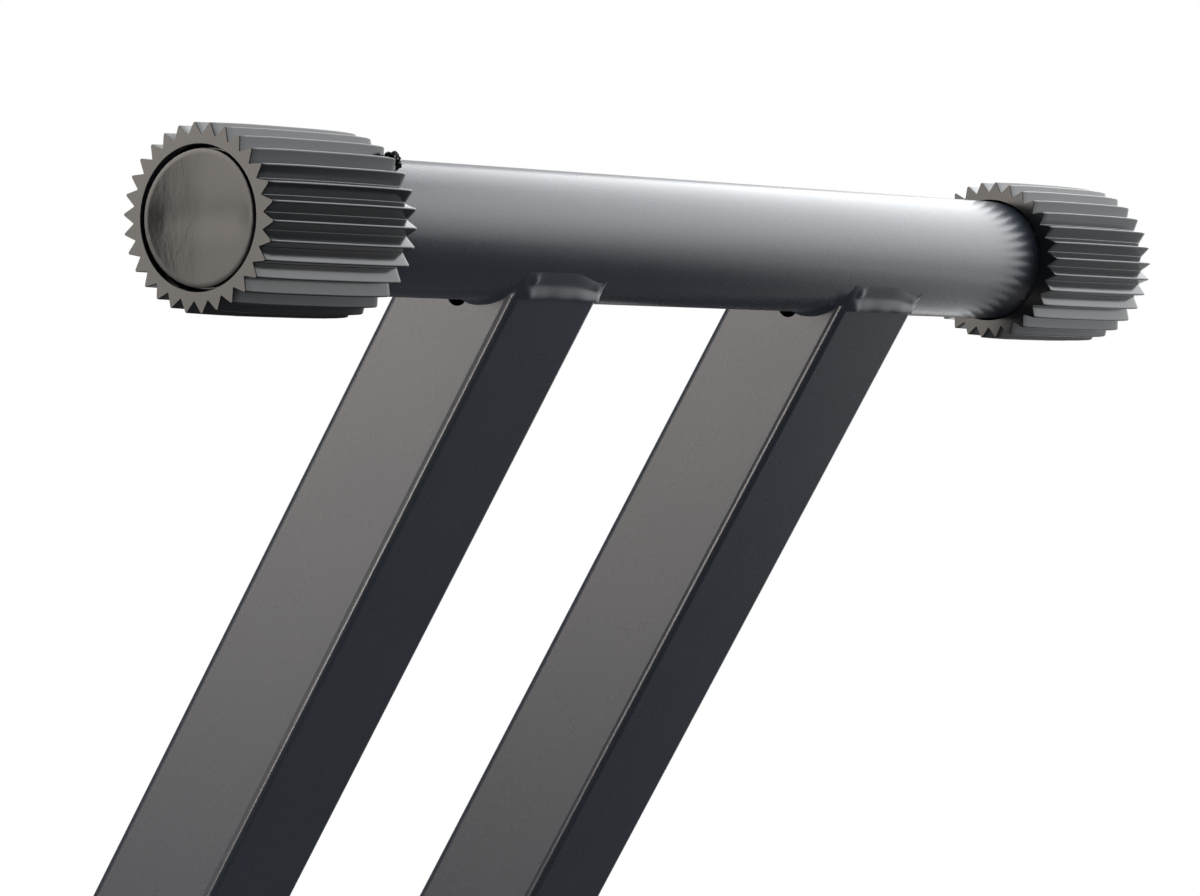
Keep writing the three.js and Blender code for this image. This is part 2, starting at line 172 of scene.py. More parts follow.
def carved(piece, cutters, operation="DIFFERENCE", edge=0.0):
    """Cuts a piece with each cutter, softens the new edges and drops the cutters."""
    for cutter in cutters:
        cut = piece.modifiers.new("cut", "BOOLEAN")
        cut.operation = operation
        cut.solver = "EXACT"
        cut.object = cutter
    if edge:
        soften = piece.modifiers.new("soften", "BEVEL")
        soften.width = edge
        soften.segments = 2
        soften.limit_method = "ANGLE"
        soften.angle_limit = math.radians(SOFTENED_ANGLE)
    settled(piece)
    for cutter in cutters:
        bpy.data.objects.remove(cutter)
    return smoothed(piece)


def weighted(piece):
    """Lets the large faces decide the normals along their edges, so that they shade flat."""
    even = piece.modifiers.new("even", "WEIGHTED_NORMAL")
    even.keep_sharp = True
    return settled(piece)


def joined_with(piece, others):
    """Joins other meshes into a piece as they are."""
    builder = bmesh.new()
    builder.from_mesh(piece.data)
    for other in others:
        builder.from_mesh(other.data)
        bpy.data.objects.remove(other)
    builder.to_mesh(piece.data)
    builder.free()
    return smoothed(piece)


def moved(piece, matrix):
    piece.data.transform(matrix)
    return piece


def at(x=0.0, y=0.0, z=0.0):
    return Matrix.Translation((x, y, z))


print("helpers ready: edges are sharp above", SHARP_ANGLE, "degrees")

# %% [markdown]
# ## Shader maths
# A material's patterns are sums of noise. `Value` wraps one socket, so that `1 - mask` in Python
# adds the Math node for it, and `Finish.node` adds any other node with its settings and inputs.

# %% Values and finishes


class Value:
    """A number in a shader, usable in Python sums."""

    def __init__(self, finish, socket):
        self.finish = finish
        self.socket = socket

    def maths(self, operation, first, second):
        return self.finish.node("ShaderNodeMath", {"operation": operation}, {0: first, 1: second})

    def __add__(self, other):
        return self.maths("ADD", self, other)

    def __rsub__(self, other):
        return self.maths("SUBTRACT", other, self)

    def __mul__(self, other):
        return self.maths("MULTIPLY", self, other)

    def __gt__(self, other):
        return self.maths("GREATER_THAN", self, other)

    __radd__ = __add__


class Finish:
    """A material, or the world, whose nodes are added one call at a time."""

    def __init__(self, owner):
        owner.use_nodes = True
        self.owner = owner
        self.tree = owner.node_tree
        self.tree.nodes.clear()

    def node(self, kind, settings=None, inputs=None, output=0):
        node = self.tree.nodes.new(kind)
        for key, setting in (settings or {}).items():
            setattr(node, key, setting)
        for key, value in (inputs or {}).items():
            if isinstance(value, Value):
                self.tree.links.new(value.socket, node.inputs[key])
            else:
                node.inputs[key].default_value = value
        return Value(self, node.outputs[output]) if node.outputs else None

    def place(self, stretch=(1, 1, 1)):
        """Object coordinates, stretched along an axis where its number is small."""
        here = self.node("ShaderNodeTexCoord", output="Object")
        return self.node("ShaderNodeMapping", inputs={"Vector": here, "Scale": stretch})

    def noise(self, size, detail=2, roughness=0.5, stretch=(1, 1, 1)):
        """Noise from 0 to 1 whose blotches are about `size` metres across."""
        return self.node("ShaderNodeTexNoise", inputs={
            "Vector": self.place(stretch), "Scale": 1 / size, "Detail": detail,
            "Roughness": roughness})

    def tint(self, amount, dark, light):
        """A colour between dark and light. A Mix node numbers its colour sockets as below."""
        first, second, result = 6, 7, 2
        return self.node("ShaderNodeMix", {"data_type": "RGBA"},
                         {0: amount, first: (*dark, 1), second: (*light, 1)}, output=result)

    def bump(self, height, depth, strength=1.0, under=None):
        inputs = {"Height": height, "Distance": depth, "Strength": strength}
        if under:
            inputs["Normal"] = under
        return self.node("ShaderNodeBump", inputs=inputs)

    def surface(self, **inputs):
        shader = self.node("ShaderNodeBsdfPrincipled", inputs=inputs)
        self.node("ShaderNodeOutputMaterial", inputs={"Surface": shader})
        return self.owner


def shade(colour, factor):
    """A colour that is darker, or lighter, by a factor."""
    return tuple(channel * factor for channel in colour)


print("shader helpers ready")

# %% [markdown]
# ## Finishes
# Powder coat melts on the steel and sets with a satin gloss: what is left of the powder is a faint
# orange peel, a slight cloudiness in its tone and a rare speck of dust. The caps are a matte
# moulded plastic with a fine grain, the plugs a smoother one that flowed unevenly in its mould.

# %% Powder coat, moulded plastics, zinc and nylon
COAT = (0.03, 0.038, 0.055)
CAP = (0.0098, 0.0114, 0.0142)
PLUG = (0.02, 0.0212, 0.023)
ZINC = (0.62, 0.63, 0.65)


def powder_coat():
    finish = Finish(bpy.data.materials.new("powder_coat"))
    cloud = finish.noise(16 * MM, 3, 0.55)
    mottle = finish.noise(1.6 * MM, 2, 0.5)
    speck = finish.noise(1.8 * MM, 0) > 0.87
    colour = finish.tint(cloud * 0.5 + mottle * 0.5 + speck * 0.5,
                         shade(COAT, 0.82), shade(COAT, 1.18))
    return finish.surface(**{
        "Base Color": colour, "Roughness": cloud * 0.04 + mottle * 0.01 + 0.25,
        "Normal": finish.bump(mottle, 0.012 * MM, 0.8)})


def cap_plastic():
    finish = Finish(bpy.data.materials.new("cap_plastic"))
    grain = finish.noise(0.3 * MM, 2, 0.7)
    flow = finish.noise(7 * MM, 3, 0.55)
    colour = finish.tint(grain * 0.5 + flow * 0.5, shade(CAP, 0.72), shade(CAP, 1.28))
    return finish.surface(**{
        "Base Color": colour, "Roughness": 0.13 + flow * 0.05 + grain * 0.04,
        "Specular IOR Level": 0.34,
        "Normal": finish.bump(grain, 0.015 * MM, 0.4)})


def plug_plastic():
    finish = Finish(bpy.data.materials.new("plug_plastic"))
    flow = finish.noise(9 * MM, 5, 0.66, stretch=(1, 1, 0.55))
    grain = finish.noise(0.5 * MM, 2, 0.6)
    colour = finish.tint(flow * 0.6 + grain * 0.4, shade(PLUG, 0.5), shade(PLUG, 1.5))
    dish = finish.bump(flow, 0.2 * MM, 0.5)
    return finish.surface(**{
        "Base Color": colour, "Roughness": 0.13 + flow * 0.08 + grain * 0.06,
        "Specular IOR Level": 0.27,
        "Normal": finish.bump(grain, 0.02 * MM, 0.4, under=dish)})


def zinc_steel(name="zinc_steel", colour=ZINC, rough=0.28):
    finish = Finish(bpy.data.materials.new(name))
    spangle = finish.noise(1.6 * MM, 3, 0.6)
    drawn = finish.noise(0.4 * MM, 2, 0.5, stretch=(1, 0.08, 1))
    tint = finish.tint(spangle, shade(colour, 0.82), shade(colour, 1.1))
    return finish.surface(**{
        "Base Color": tint, "Metallic": 1.0, "Roughness": rough + spangle * 0.16,
        "Normal": finish.bump(drawn, 0.01 * MM, 0.5)})


def plain_plastic(name, colour, rough):
    finish = Finish(bpy.data.materials.new(name))
    grain = finish.noise(0.4 * MM, 2, 0.6)
    flow = finish.noise(6 * MM, 2)
    tint = finish.tint(flow, shade(colour, 0.85), shade(colour, 1.15))
    return finish.surface(**{
        "Base Color": tint, "Roughness": rough + flow * 0.1,
        "Normal": finish.bump(grain, 0.015 * MM, 0.5)})


FINISHES = {
    "powder_coat": powder_coat(),
    "cap_plastic": cap_plastic(),
    "plug_plastic": plug_plastic(),
    "zinc_steel": zinc_steel(),
    "spring_steel": zinc_steel("spring_steel", (0.4, 0.41, 0.43), 0.22),
    "nylon": plain_plastic("nylon", (0.68, 0.66, 0.6), 0.42),
    "knob_plastic": plain_plastic("knob_plastic", (0.02, 0.02, 0.022), 0.28),
}
print("finishes:", ", ".join(FINISHES))

# %% [markdown]
# ## Seating a piece
# Every piece rides on a body of the frame and takes its finish from one of the record's slots;
# where it replaces a node, that node is hidden. Nodes that nothing replaces keep their own mesh and
# get a finish.

# %% Seat a piece
BODY_OF = {node: body for body, group in frame["record"]["behaviour"]["bodies"].items()
           for node in group}
SLOT_OF = {part["node"]: part["material_slot"] for part in frame["record"]["subparts"]}


def seat(piece, node, stands_for_node=True):
    """Dresses a piece in its node's finish and puts it on its node's body."""
    slot = SLOT_OF[node]
    piece.data.materials.clear()
    piece.data.materials.append(FINISHES[slot])
    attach(piece, BODY_OF[node])
    if stands_for_node:
        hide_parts(node)
    return piece


for node, original in nodes.items():
    original.data.materials.clear()
    original.data.materials.append(FINISHES[SLOT_OF[node]])
print("every node has a finish")

# %% [markdown]
# ## Round bars
# Each bar is a cut length of welded tube. It is turned from its wall's section, with the cut
# edges barely broken, and enough steps that its outline stays round close up.

# %% Turn the four bars
BARS = ["top_bar_right", "top_bar_left", "foot_bar_left", "foot_bar_right"]
BAR_STEPS = 128

for bar in BARS:
    start, end = span(bar)
    centre = middle(bar)
    piece = tube(f"{bar}_tube", BAR_RADIUS - BAR_WALL, BAR_RADIUS, start, end, BAR_STEPS)
    seat(moved(piece, at(centre.x, 0, centre.z)), bar)
    print(f"{bar}: {end - start:.4f} m of tube")

# %% [markdown]
# ## Ribbed end caps
# A cap is a moulded sleeve with thirty V-shaped ribs. One rib is drawn as a V whose crest and root
# are rounded by a bevel, and repeated by a spin, which gives the toothed outline. The outline is
# then extruded down the cap ring by ring, drawn in a little towards its rear end, and closed
# through the bore.

# %% Mould one cap
RIBS = 30
ROOT = 17.8 * MM
CREST = 20.3 * MM
CREST_ROUND = 0.42 * MM
ROOT_ROUND = 0.22 * MM
CAP_BORE = 15.38 * MM
BORE_EDGE = 0.12 * MM
# Down the cap: (distance from the front face, how far the outline is drawn in), in millimetres.
CAP_STATIONS = [(0, 0.46), (0.1, 0.36), (0.3, 0.3), (2.5, 0.24), (6, 0.14), (12, 0.03), (20, 0),
                (34, 0), (42, 0.08), (46, 0.2), (48.5, 0.34), (49.5, 0.44), (49.8, 0.56),
                (49.95, 0.74), (50, 0.95)]


def rounded_tip(radius, half_angle):
    """How far a V's sharp point stands past its rounded one, and how far along its sides the
    rounding starts."""
    return radius * (1 / math.sin(half_angle) - 1), radius / math.tan(half_angle)


def rib_outline(builder):
    """The toothed outline at y = 0, with a rib straight up. Returns its edges."""
    half_pitch = math.pi / RIBS
    crest_angle = math.atan2(ROOT * math.sin(half_pitch), CREST - ROOT * math.cos(half_pitch))
    crest_past, crest_offset = rounded_tip(CREST_ROUND, crest_angle)
    root_past, root_offset = rounded_tip(ROOT_ROUND, crest_angle + half_pitch)
    low, high = ROOT - root_past, CREST + crest_past
    side = Vector((low * math.sin(half_pitch), 0, low * math.cos(half_pitch)))
    corners = [builder.verts.new(place) for place in
               ((-side.x, 0, side.z), (0, 0, high), (side.x, 0, side.z))]
    for pair in zip(corners, corners[1:]):
        builder.edges.new(pair)
    bmesh.ops.spin(builder, geom=builder.verts[:] + builder.edges[:], cent=(0, 0, 0),
                   axis=(0, 1, 0), angle=2 * math.pi * (RIBS - 1) / RIBS, steps=RIBS - 1,
                   use_duplicate=True)
    bmesh.ops.remove_doubles(builder, verts=builder.verts, dist=1e-6)
    middle_radius = (low + high) / 2
    crests = [vert for vert in builder.verts if vert.co.length > middle_radius]
    roots = [vert for vert in builder.verts if vert.co.length < middle_radius]
    for verts, offset, segments in ((crests, crest_offset, 5), (roots, root_offset, 3)):
        bmesh.ops.bevel(builder, geom=verts, offset=offset, affect="VERTICES",
                        segments=segments, profile=0.5, material=-1)
    return builder.edges[:]


def next_ring(builder, ring):
    """Extrudes a ring of edges in place. Returns the new ring's edges and vertices."""
    grown = bmesh.ops.extrude_edge_only(builder, edges=ring)["geom"]
    edges = [item for item in grown if isinstance(item, bmesh.types.BMEdge)]
    verts = [item for item in grown if isinstance(item, bmesh.types.BMVert)]
    return edges, verts


def set_radius(verts, radius, y):
    """Moves points straight out or in to a circle about the Y axis, at y."""
    for vert in verts:
        flat = Vector((vert.co.x, 0, vert.co.z)).normalized() * radius
        vert.co = Vector((flat.x, y, flat.z))


def ribbed_cap():
    """A cap with its front face at y = 0 and its rear end along +Y."""
    builder = bmesh.new()
    outer = ring = rib_outline(builder)
    verts = builder.verts[:]
    length = drawn = 0.0
    for station, draw in CAP_STATIONS:
        if station:
            ring, verts = next_ring(builder, ring)
        bmesh.ops.translate(builder, verts=verts, vec=(0, station * MM - length, 0))
        length = station * MM
        for vert in verts:
            out = Vector((vert.co.x, 0, vert.co.z)).normalized()
            vert.co -= out * (draw - drawn) * MM
        drawn = draw
    bore = outer
    mouth = CAP_BORE + BORE_EDGE
    for radius, y in [(mouth, 0), (CAP_BORE, BORE_EDGE), (CAP_BORE, length - BORE_EDGE),
                      (mouth, length)]:
        bore, verts = next_ring(builder, bore)
        set_radius(verts, radius, y)
    bmesh.ops.bridge_loops(builder, edges=bore + ring)
    return as_object("ribbed_cap", builder)


cap_pattern = ribbed_cap()
print("one cap:", len(cap_pattern.data.polygons), "faces")

# %% [markdown]
# ## End plugs
# A plug closes the tube's end behind the cap's open face: a thin disc with a hollow spigot that
# grips inside the tube. Its face is a little hollow from side to side, and an upright rib behind
# the disc and a level one cooled last, so the face sank over them, which shows as soft bands.

# %% Mould one plug
PLUG_RADIUS = 14.52 * MM
PLUG_EDGE = 0.06 * MM
PLUG_FLANGE = 2.5 * MM
PLUG_DEPTH = 14 * MM
SPIGOT = 13.2 * MM
SPIGOT_WALL = 2 * MM
FACE_RINGS = 14
# How far back the face stands in its middle, at its top and foot and over its ribs, and how far
# forward all of it is.
HOLLOW = 0.75 * MM
BULGE = 0.12 * MM
SINK = 0.14 * MM
SINK_WIDTH = 3.5 * MM
PROUD = 0.2 * MM


def face_shape(x, z):
    """How far back the plug's face stands at a point."""
    share = min(1.0, math.hypot(x, z) / PLUG_RADIUS)
    side, up = x / PLUG_RADIUS, z / PLUG_RADIUS
    cross = 0.5 * math.exp(-(x / SINK_WIDTH) ** 2) + math.exp(-(z / SINK_WIDTH) ** 2)
    sunk = SINK * cross * min(1.0, 3 * (1 - share))
    return HOLLOW * (1 - side ** 2) + BULGE * up ** 2 + sunk - PROUD


def end_plug():
    flat = PLUG_RADIUS - PLUG_EDGE
    face = [(flat * ring / FACE_RINGS, 0) for ring in range(FACE_RINGS)]
    profile = face + [
        (flat, 0), (PLUG_RADIUS - PLUG_EDGE * 0.3, PLUG_EDGE * 0.3), (PLUG_RADIUS, PLUG_EDGE),
        (PLUG_RADIUS, PLUG_FLANGE), (SPIGOT, PLUG_FLANGE), (SPIGOT, PLUG_DEPTH),
        (SPIGOT - SPIGOT_WALL, PLUG_DEPTH), (SPIGOT - SPIGOT_WALL, PLUG_FLANGE),
        (0, PLUG_FLANGE)]
    plug = turned("end_plug", profile, steps=96, rounding=0)
    for vertex in plug.data.vertices:
        if vertex.co.y < 2 * PLUG_EDGE:
            vertex.co.y += face_shape(vertex.co.x, vertex.co.z)
    return plug


plug_pattern = end_plug()
print("one plug:", len(plug_pattern.data.polygons), "faces")

# %% [markdown]
# ## Caps and plugs on the bars
# The pattern is copied to both ends of each bar, the same way round, as the sleeves come off one
# moulded length. The front cap of a top bar sits a few degrees round from straight up and its rear
# cap by half a rib; a foot bar's caps stand on a rib.

# %% Push the caps and plugs on
FRONT_RIB = math.radians(-2.8)
REAR_RIB = math.radians(6)


def copy_of(pattern, name):
    piece = bpy.data.objects.new(name, pattern.data.copy())
    bpy.context.scene.collection.objects.link(piece)
    return piece


for bar in BARS:
    centre = middle(bar)
    plug_front, _ = span(f"{bar}_plug_front")
    _, plug_rear = span(f"{bar}_plug_rear")
    top = bar.startswith("top")
    turns = {"front": FRONT_RIB if top else 0.0, "rear": REAR_RIB if top else 0.0}
    ends = {"front": (plug_front, Matrix.Identity(4)),
            "rear": (plug_rear, Matrix.Rotation(math.pi, 4, "Z"))}
    for end, (plug_y, facing) in ends.items():
        cap_y, _ = span(f"{bar}_cap_{end}")
        turn = Matrix.Rotation(turns[end], 4, "Y")
        cap = copy_of(cap_pattern, f"{bar}_ribbed_cap_{end}")
        seat(moved(cap, at(centre.x, cap_y, centre.z) @ turn), f"{bar}_cap_{end}")
        plug = copy_of(plug_pattern, f"{bar}_end_plug_{end}")
        seat(moved(plug, at(centre.x, plug_y, centre.z) @ facing), f"{bar}_plug_{end}")
    print(f"{bar}: plugs' faces at y = {plug_front:.4f} and {plug_rear:.4f}")
for pattern in (cap_pattern, plug_pattern):
    bpy.data.objects.remove(pattern)

# %% [markdown]
# One cap still carries a torn scrap of plastic at its rear end, where it was broken off its sprue.
# A ball is pulled in and out by a noise, which leaves it ragged.

# %% Leave a scrap on one cap
SCRAP_CAP = "top_bar_right_cap_front"
SCRAP_SIZE = (1.7 * MM, 1.9 * MM, 2.1 * MM)
SCRAP_TURN = math.radians(43.5)
SCRAP_OUT = 18 * MM
SCRAP_PAST = 0.5 * MM
SCRAP_RAGGED = 0.6
SCRAP_NOISE = (0.7, 2.1, 4)     # how fast it fades, how much finer each octave is, and their number

builder = bmesh.new()
bmesh.ops.create_icosphere(builder, subdivisions=4, radius=1)
for vertex in builder.verts:
    vertex.co *= 1 + SCRAP_RAGGED * noise.fractal(vertex.co * 1.3, *SCRAP_NOISE)
bmesh.ops.scale(builder, vec=SCRAP_SIZE, verts=builder.verts)
scrap = as_object("moulding_scrap", builder)
cap_centre = middle(SCRAP_CAP)
scrap_place = (at(cap_centre.x, span(SCRAP_CAP)[1] + SCRAP_PAST, cap_centre.z)
               @ Matrix.Rotation(SCRAP_TURN, 4, "Y") @ at(0, 0, SCRAP_OUT))
seat(moved(scrap, scrap_place), SCRAP_CAP, stands_for_node=False)
print("scrap of", len(scrap.data.polygons), "faces on", SCRAP_CAP)

# %% [markdown]
# ## Legs
# A leg is rectangular tube. Both ends are coped, which is to say cut to hug the round bar, a small
# drain notch in each wide face lets the pieces drain while they are cleaned for coating, and holes
# take the pivot's sleeve. The coping would leave a lip as thin as foil where the leg's sides touch
# the bar, so it is trimmed. Each leg is cut in its pair's own upright space and then leaned over.

# %% Cut the legs
COPE = BAR_RADIUS + 0.04 * MM
LIP = 0.6 * MM
LIP_LENGTH = 6.4 * MM
LIP_CORNER = 0.1 * MM
DRAIN_RADIUS = 2.9 * MM
DRAIN_OFFSET = 1 * MM
GUIDE_HOLE = 7.1 * MM


def drill(radius, x, z, reach=LEG_WIDTH):
    """A round cutter along Y through (x, z)."""
    cutter = turned("cutter", [(0, -reach), (radius, -reach), (radius, reach), (0, reach)],
                    steps=96, rounding=0)
    return moved(cutter, at(x, 0, z))


def cut_leg(name, holes):
    half = leg_length / 2
    leg = block(name, (LEG_THICKNESS, LEG_WIDTH, leg_length), LEG_CORNER)
    hollow = block("cutter", (LEG_THICKNESS - 2 * LEG_WALL, LEG_WIDTH - 2 * LEG_WALL,
                              leg_length + 2 * LEG_WALL), LEG_CORNER - LEG_WALL)
    cutters = [hollow] + [drill(radius, 0, z) for z, radius in holes]
    for end in (half, -half):
        toward = -1 if end > 0 else 1
        cutters.append(drill(COPE, 0, end))
        for side in (1, -1):
            lip = block("cutter", (2 * LIP, 2 * LEG_WIDTH, 2 * LIP_LENGTH), LIP_CORNER, segments=1)
            cutters.append(moved(lip, at(side * LEG_THICKNESS / 2, 0, end)))
        cutters.append(drill(DRAIN_RADIUS, DRAIN_OFFSET, end + toward * COPE))
    return weighted(carved(leg, cutters))


sleeve_low, sleeve_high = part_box("outer_sleeve_front")
pivot_hole = (sleeve_high.x - sleeve_low.x) / 2 + 0.1 * MM
pivot = (middle("foot_bar_left") + middle("top_bar_right")) / 2
guide = middle("latch_guide")
latch_reach = Vector((guide.x - pivot.x, guide.z - pivot.z)).length
# The holes through each leg, as (distance up the leg from the pivot, radius).
LEGS = {"outer_leg_front": [(0, pivot_hole), (latch_reach, GUIDE_HOLE)],
        "outer_leg_rear": [(0, pivot_hole)],
        "inner_leg_front": [(0, pivot_hole)],
        "inner_leg_rear": [(0, pivot_hole)]}

for leg, holes in LEGS.items():
    space = outer_space if leg.startswith("outer") else inner_space
    piece = cut_leg(f"{leg}_tube", holes)
    seat(moved(piece, space @ at(0, middle(leg).y, 0)), leg)
    print(f"{leg}: {len(piece.data.polygons)} faces")

# %% [markdown]
# ## Welds
# A leg is as thick as the bar, so its side faces only touch the bar's curve. The weld fills the
# thin wedge that is left there and stands over it as a low pad, which starts in a small mound. It
# curls round the leg's corners and tapers off on the wide faces as a hollow fillet under the bar.
# The coating smooths all of it. A weld is a grid bent round the joint: along it runs the leg's
# outline, and across it a closed section that starts on the bar and ends on the leg.

# %% Shape one weld
# On a side face: how far below the bar's middle the weld starts, at the leg's front and rear, the
# places along the leg's width between which it falls from one to the other, and how far it reaches.
WELD_TOP = {"front": 1 * MM, "rear": 3.4 * MM}
WELD_TOP_FALLS = (2 * MM, 15.5 * MM)
WELD_HIGHEST = 1 * MM
WELD_FOOT = 8.3 * MM
PAD_HEIGHT = 0.8 * MM
# Across a side face: (share of the way from the bar to the leg, height of the filling in
# millimetres, share of the pad's height).
WELD_SECTION = [(0, 0, 0), (0.13, 0.08, 0), (0.28, 0.11, 0), (0.4, 0.14, 0), (0.46, 0.15, 0.05),
                (0.52, 0.16, 0.2), (0.6, 0.18, 0.42), (0.68, 0.2, 0.65), (0.76, 0.22, 0.86),
                (0.82, 0.23, 0.97), (0.87, 0.24, 1), (0.91, 0.25, 0.9), (0.95, 0.26, 0.55),
                (0.98, 0.2, 0.2), (1, 0, 0)]
PAD_START = -15.2 * MM
PAD_FULL = -12.8 * MM
# A mound near each corner: (place along the leg's width, height), its width, its middle and width
# across the section, and how much of it runs on down the pad.
MOUNDS = [(-12 * MM, 0.5 * MM), (13.5 * MM, 0.08 * MM)]
MOUND_WIDTH = 1.2 * MM
MOUND_ACROSS = (0.3, 0.11)
MOUND_TAIL = 0.35
# Round the corners and on the wide faces, where a weld reaches less far on the leg's other side.
ON_SIDE = 0.8
FILLET_OUT = {"front": 2.6 * MM, "rear": 4.2 * MM}
FILLET_DOWN = 1.5 * MM
FILLET_HOLLOW = 0.35 * MM
WELD_REACH = {1: 12.5 * MM, -1: 4 * MM}
WELD_TAPER = 5 * MM
# Its uneven surface, how far it is sunk into the bar and the leg, and the grid's steps along it.
WELD_UNEVEN = 0.07
WELD_WAVE = 1.5 * MM
WELD_SUNK = 0.25 * MM
WELD_ROOT = 0.8 * MM
WELD_STEPS = 96


def ramp(value, start, full):
    """0 before start, 1 past full, and smooth between."""
    share = min(1.0, max(0.0, (value - start) / (full - start)))
    return share * share * (3 - 2 * share)


def bell(value, top, width):
    """1 at the top, and near 0 two widths away from it."""
    return math.exp(-((value - top) / width) ** 2)


def leg_outline(along):
    """A point of a leg's outline and its outward direction, measured along from the middle of a
    side face, round the corner and onto a wide face."""
    flat = LEG_WIDTH / 2 - LEG_CORNER
    past = abs(along) - flat
    turn = min(max(past / LEG_CORNER, 0.0), math.pi / 2)
    beyond = max(past - LEG_CORNER * math.pi / 2, 0.0)
    way = 1 if along > 0 else -1
    x = LEG_THICKNESS / 2 - LEG_CORNER * (1 - math.cos(turn)) - beyond
    y = min(abs(along), flat) + LEG_CORNER * math.sin(turn)
    return Vector((x, way * y, 0)), Vector((math.cos(turn), way * math.sin(turn), 0))


def bar_depth(x):
    """How far below the bar's middle its surface lies, x metres to the side."""
    return math.sqrt(max(BAR_RADIUS ** 2 - x ** 2, 0.0))


def weld_section(along, limit):
    """The closed section of a weld as points (x, y, depth below the bar's middle)."""
    spot, out = leg_outline(along)
    end = "rear" if along > 0 else "front"
    on_side = ramp(out.x, 0.0, ON_SIDE)
    on_wide = 1 - on_side
    taper = math.sqrt(ramp(limit - abs(along), 0.0, WELD_TAPER))
    mounds = sum(height * bell(along, place, MOUND_WIDTH) for place, height in MOUNDS)
    fillet = spot + out * FILLET_OUT[end] * taper
    falls = ramp(along, *WELD_TOP_FALLS)
    top = WELD_TOP["front"] * (1 - falls) + WELD_TOP["rear"] * falls
    high = fillet.lerp(Vector((bar_depth(top), spot.y, 0)), on_side)
    high.x = min(high.x, bar_depth(WELD_HIGHEST))
    high.z = max(bar_depth(high.x) - WELD_SUNK * on_wide, WELD_HIGHEST)
    low = spot - out * WELD_SUNK
    foot_on_wide = bar_depth(spot.x) + FILLET_DOWN * taper
    low.z = foot_on_wide * (1 - on_side ** 2) + WELD_FOOT * on_side ** 2
    pad_here = PAD_HEIGHT * ramp(along, PAD_START, PAD_FULL)
    points = []
    for across, filling, pad in WELD_SECTION:
        uneven = 1 + WELD_UNEVEN * math.sin(along / WELD_WAVE + 2 * across)
        mound = mounds * max(bell(across, *MOUND_ACROSS) * min(1.0, across * 8), MOUND_TAIL * pad)
        hollow = FILLET_HOLLOW * on_wide * taper * math.sin(math.pi * across)
        height = (filling * MM + pad_here * pad * uneven + mound) * on_side - hollow
        points.append(high.lerp(low, across) + out * height)
    inner_low = low - out * WELD_ROOT
    inner_high = high - Vector((on_side, 0, on_wide)) * WELD_ROOT
    return points + [inner_low, inner_high]


def weld(side, end):
    """The weld on one side of a leg's end, in the leg's space: side and end are 1 or -1."""
    limit = LEG_WIDTH / 2 - LEG_CORNER + LEG_CORNER * math.pi / 2 + WELD_REACH[side]
    count = len(WELD_SECTION) + 2
    builder = bmesh.new()
    bmesh.ops.create_grid(builder, x_segments=WELD_STEPS, y_segments=count, size=0.5)
    sections = [weld_section(limit * (2 * step / WELD_STEPS - 1), limit)
                for step in range(WELD_STEPS + 1)]
    for vert in builder.verts:
        step = round((vert.co.x + 0.5) * WELD_STEPS)
        point = sections[step][round((vert.co.y + 0.5) * count) % count]
        vert.co = Vector((side * point.x, point.y, end * (leg_length / 2 - point.z)))
    bmesh.ops.remove_doubles(builder, verts=builder.verts, dist=MERGED)
    open_edges = [edge for edge in builder.edges if edge.is_boundary]
    bmesh.ops.holes_fill(builder, edges=open_edges)
    return as_object("weld", builder)


# %% Weld the legs to the bars
for leg in LEGS:
    space = outer_space if leg.startswith("outer") else inner_space
    parts = [weld(side, end) for side in (1, -1) for end in (1, -1)]
    welds = moved(joined_with(parts[0], parts[1:]), space @ at(0, middle(leg).y, 0))
    welds.name = f"{leg}_welds"
    seat(welds, leg, stands_for_node=False)
print("welds on", len(LEGS), "legs, with", len(welds.data.polygons), "faces on each")

# %% [markdown]
# ## Index plate
# A steel disc between the front legs, welded to the inner one. Its holes catch the pull pin. The
# disc is turned, drilled where the solid plate is drilled, and its edges are broken.

# %% Cut the index plate
PLATE_RADIUS = 65.4 * MM
PLATE_EDGE = 0.35 * MM
INDEX_HOLE = 4.4 * MM
BOLT_HOLE = 5.3 * MM            # also the bore of what is threaded on the pivot bolt
FOLD_STOPS = [-45, -30, -15, 0, 15, 59]     # degrees from this stance: low to folded flat

front, back = span("index_plate")
disc = turned("index_disc", [(0, front), (PLATE_RADIUS, front), (PLATE_RADIUS, back), (0, back)],
              steps=160, rounding=0)
cutters = [moved(drill(BOLT_HOLE, 0, 0), at(0, front, 0))]
for stop in FOLD_STOPS:
    angle = 2 * outer_lean - math.radians(stop)
    hole = drill(INDEX_HOLE, latch_reach * math.sin(angle), latch_reach * math.cos(angle))
    cutters.append(moved(hole, at(0, front, 0)))
disc = carved(disc, cutters, edge=PLATE_EDGE)
seat(moved(disc, inner_space), "index_plate")
print(f"index plate: {len(FOLD_STOPS)} holes at {latch_reach:.4f} m from the pivot")

# %% [markdown]
# ## Pivot hardware
# A long hexagon-headed bolt passes through all four legs, with a washer under its head and
# another under the lock nut. A hexagon's corners are chamfered by turning, so the hexagon is cut
# here by a turned blank.

# %% Turn the bolt, washers and nut
BOLT_RADIUS = 5 * MM
HEX_FLATS = 16 * MM
THREADED = 24 * MM
THREAD_PITCH = 1.5 * MM
THREAD_DEPTH = 0.55 * MM
BOLT_POINT = 1.2 * MM
NUT_BORE = 5.32 * MM
COLLAR = 2.5 * MM
COLLAR_BORE = 5.4 * MM
COLLAR_RADIUS = 7.1 * MM
WASHER_RADIUS = 12 * MM
GLIDE_RADIUS = 14 * MM
SPACER_RADIUS = 8.3 * MM


